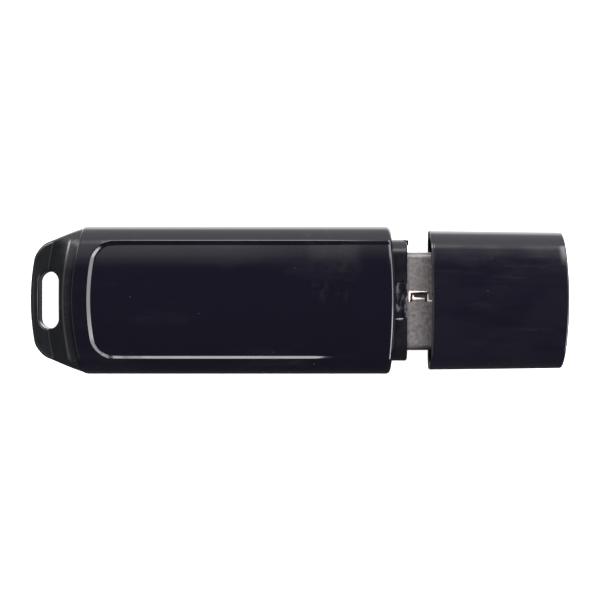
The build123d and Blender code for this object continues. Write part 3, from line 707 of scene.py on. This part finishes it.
def laminate(name):
    """Green solder mask over a woven glass board, with paler copper areas under it."""
    f = Finish(name, IOR=1.52, Coat_Weight=0.4, Coat_Roughness=0.15)
    warp = f.node("ShaderNodeTexWave", {"Vector": f.place, "Scale": 0.8, "Distortion": 0.6})
    weft = f.node(
        "ShaderNodeTexWave", {"Vector": f.place, "Scale": 0.8, "Distortion": 0.6},
        bands_direction="Y",
    )
    weave = f.maths("MULTIPLY", warp.outputs["Fac"], weft.outputs["Fac"])
    copper = f.ramp(f.noise(0.35, 0, (1, 1, 0.1), 2.9), 0.5, 0.52)
    mask = f.blend(copper, (0.006, 0.05, 0.02), (0.012, 0.11, 0.04))
    f.use("Base Color", f.blend(f.maths("MULTIPLY", weave, 0.25), mask, (0.02, 0.16, 0.06)))
    f.use("Roughness", f.ramp(f.noise(1.5, 3), 0.3, 0.7, 0.28, 0.42))
    f.bump(f.maths("ADD", weave, copper), 0.012)
    return f.material


finishes = {
    "gloss": smudged_gloss("blue_black_gloss"),
    "handled": smudged_gloss("handled_gloss", 0.2, 0.16),
    "tail": moulded(
        "tail_grey", (0.0062, 0.0068, 0.0082), (0.0085, 0.0092, 0.0108), (0.13, 0.2), 5.0, 0.0016, 0.3
    ),
    "collar": collar_plastic("collar_black"),
    # pale grey pocket lip: painted highlight
    "pocket_glint": moulded(
        "pocket_glint_edge", (0.09, 0.09, 0.095), (0.17, 0.17, 0.18), (0.4, 0.55), 5.0, 0.004
    ),
    # pale pinkish-white seam edges: painted highlight
    "seam_glint": seam_glint_finish("seam_glint_edge"),
    "inner": moulded(
        "inner_black", (0.011, 0.011, 0.012), (0.016, 0.016, 0.017), (0.4, 0.55), 5.0, 0.006
    ),
    "chip": moulded(
        "chip_black", (0.013, 0.013, 0.0135), (0.02, 0.02, 0.0205), (0.5, 0.65), 8.0, 0.01
    ),
    "nickel": plated(
        "mottled_nickel", (0.245, 0.226, 0.227), (0.165, 0.15, 0.152), (0.4, 0.54), 2.4, 0.1
    ),
    "gold": plated("contact_gold", (0.95, 0.68, 0.3), (0.78, 0.52, 0.2), (0.16, 0.3), 1.5, 0.1),
    "tin": plated("lead_tin", (0.8, 0.8, 0.79), (0.6, 0.6, 0.6), (0.25, 0.45), 2.2, 0.1),
    "can": plated("can_metal", (0.78, 0.76, 0.72), (0.62, 0.6, 0.58), (0.18, 0.32), 1.0, 0.15),
    "solder": plated("solder", (0.74, 0.74, 0.75), (0.5, 0.5, 0.52), (0.18, 0.42), 2.5, 0.0),
    "laminate": laminate("board_laminate"),
    "ceramic": moulded(
        "ceramic_white", (0.42, 0.4, 0.37), (0.55, 0.53, 0.5), (0.35, 0.5), 6.0, 0.006
    ),
    "dielectric": moulded(
        "dielectric_tan", (0.26, 0.16, 0.085), (0.36, 0.23, 0.13), (0.35, 0.5), 6.0, 0.006
    ),
}
NODE_FINISHES = {
    "collar": ("neck_collar",),
    "nickel": ("plug_shell",),
    "gold": ("contact_pins",),
    "inner": ("plug_insulator", "cap_insert"),
    "laminate": ("circuit_board",),
    "chip": ("flash_chip", "controller_chip", "voltage_regulator"),
    "tin": ("flash_chip_leads", "controller_leads", "regulator_leads", "capacitor_terminals",
            "resistor_terminals"),
    "can": ("crystal_lid",),
    "ceramic": ("crystal_base", "resistors"),
    "dielectric": ("capacitors",),
    "solder": ("solder_joints",),
}


def dress(piece, finish):
    """Give a piece one of the finishes."""
    piece.data.materials.clear()
    piece.data.materials.append(finishes[finish])


for piece in housing():
    dress(piece, "gloss")
dress(tail(), "tail")
dress(cap(), "handled")
# the seam's raised edges get the pale finish, a painted highlight
for piece in seam_edges():
    dress(piece, "seam_glint")
# the pocket lip gets the pale grey finish, a painted highlight
dress(pocket_lip(), "pocket_glint")
for finish, nodes in NODE_FINISHES.items():
    for node in nodes:
        dress(frame["nodes"][node], finish)

# ---------------------------------------------------------------- stage, light and camera

CAMERA_HEIGHT = 250.0
CAMERA_X = 0.15
CAMERA_Y = -0.005
FRAME_WIDTH = 74.05
SENSOR = 36.0
FLOOR_GLOW = 0.9
BASE_LIGHT = 0.1
# each soft area: its radiance, then (axis, where it is off, where it is full) for each of its edges
SKY = (
    (1.35, (("y", 0.3, 0.68), ("z", -0.75, -0.45))),
    (0.55, (("y", 0.26, 0.42), ("y", 0.7, 0.5), ("x", 0.04, -0.05), ("z", 0.5, 0.7))),
    (9.0, (
        ("y", 0.48, 0.56), ("y", 0.78, 0.68), ("x", -0.1, -0.078), ("x", 0.036, 0.01), ("z", 0.4, 0.55),
    )),
    (6.5, (("x", 0.54, 0.64), ("y", -0.6, -0.4), ("y", 0.75, 0.55), ("z", 0.3, 0.42))),
    (6.0, (("x", 0.54, 0.64), ("y", -0.65, -0.45), ("y", -0.02, -0.14), ("z", 0.3, 0.42))),
    (7.0, (
        ("x", 0.14, 0.2), ("x", 0.62, 0.5), ("y", 0.3, 0.42), ("y", 0.78, 0.66), ("z", 0.42, 0.56),
    )),
    (11.0, (("x", -0.25, -0.35), ("x", -0.62, -0.5), ("y", 0.4, 0.5), ("z", 0.52, 0.62))),
    (1.0, (("x", -0.2, -0.4), ("x", -0.75, -0.6), ("z", 0.4, 0.6))),
    (3.2, (("y", 0.05, 0.3), ("z", -0.3, -0.7))),
)


def stage():
    """A plain white floor that glows a little and that the glossy plastic doesn't mirror."""
    bpy.ops.mesh.primitive_plane_add(size=6, location=(0, 0, 0))
    floor = bpy.context.object
    floor.name = "floor"
    f = Finish("white_floor", Roughness=0.9)
    f.use("Base Color", f.blend(f.noise(0.05, 2), (0.8, 0.8, 0.8), (0.82, 0.82, 0.82)))
    f.shader.inputs["Emission Color"].default_value = (1, 1, 1, 1)
    f.shader.inputs["Emission Strength"].default_value = FLOOR_GLOW
    floor.data.materials.append(f.material)
    floor.visible_glossy = False


def studio_world():
    """Light by direction: a dim base and the soft-edged areas of SKY added to it."""
    world = bpy.data.worlds.new("studio")
    bpy.context.scene.world = world
    world.use_nodes = True
    tree = world.node_tree
    direction = tree.nodes.new("ShaderNodeTexCoord").outputs["Generated"]
    parts = tree.nodes.new("ShaderNodeSeparateXYZ")
    tree.links.new(direction, parts.inputs[0])
    axes = dict(zip("xyz", parts.outputs))

    def step(axis, off, on):
        node = tree.nodes.new("ShaderNodeMapRange")
        node.interpolation_type = "SMOOTHSTEP"
        tree.links.new(axes[axis], node.inputs["Value"])
        node.inputs["From Min"].default_value = off
        node.inputs["From Max"].default_value = on
        return node.outputs["Result"]

    def combine(operation, a, b):
        node = tree.nodes.new("ShaderNodeMath")
        node.operation = operation
        for socket, value in zip(node.inputs, (a, b)):
            if isinstance(value, bpy.types.NodeSocket):
                tree.links.new(value, socket)
            else:
                socket.default_value = value
        return node.outputs[0]

    total = BASE_LIGHT
    for radiance, steps in SKY:
        glow = radiance
        for axis, off, on in steps:
            glow = combine("MULTIPLY", step(axis, off, on), glow)
        total = combine("ADD", glow, total)
    background = tree.nodes["Background"]
    background.inputs["Color"].default_value = (1, 1, 1, 1)
    tree.links.new(total, background.inputs["Strength"])


def camera():
    """A camera straight above the object."""
    scene = bpy.context.scene
    scene.view_settings.view_transform = "Standard"
    lens = bpy.data.cameras.new("camera")
    lens.sensor_width = SENSOR
    lens.lens = SENSOR * CAMERA_HEIGHT / FRAME_WIDTH
    lens.clip_start = 0.01
    seat = bpy.data.objects.new("camera", lens)
    seat.location = Vector((CAMERA_X, CAMERA_Y, z_mid + CAMERA_HEIGHT)) * MM
    scene.collection.objects.link(seat)
    scene.camera = seat


stage()
studio_world()
camera()
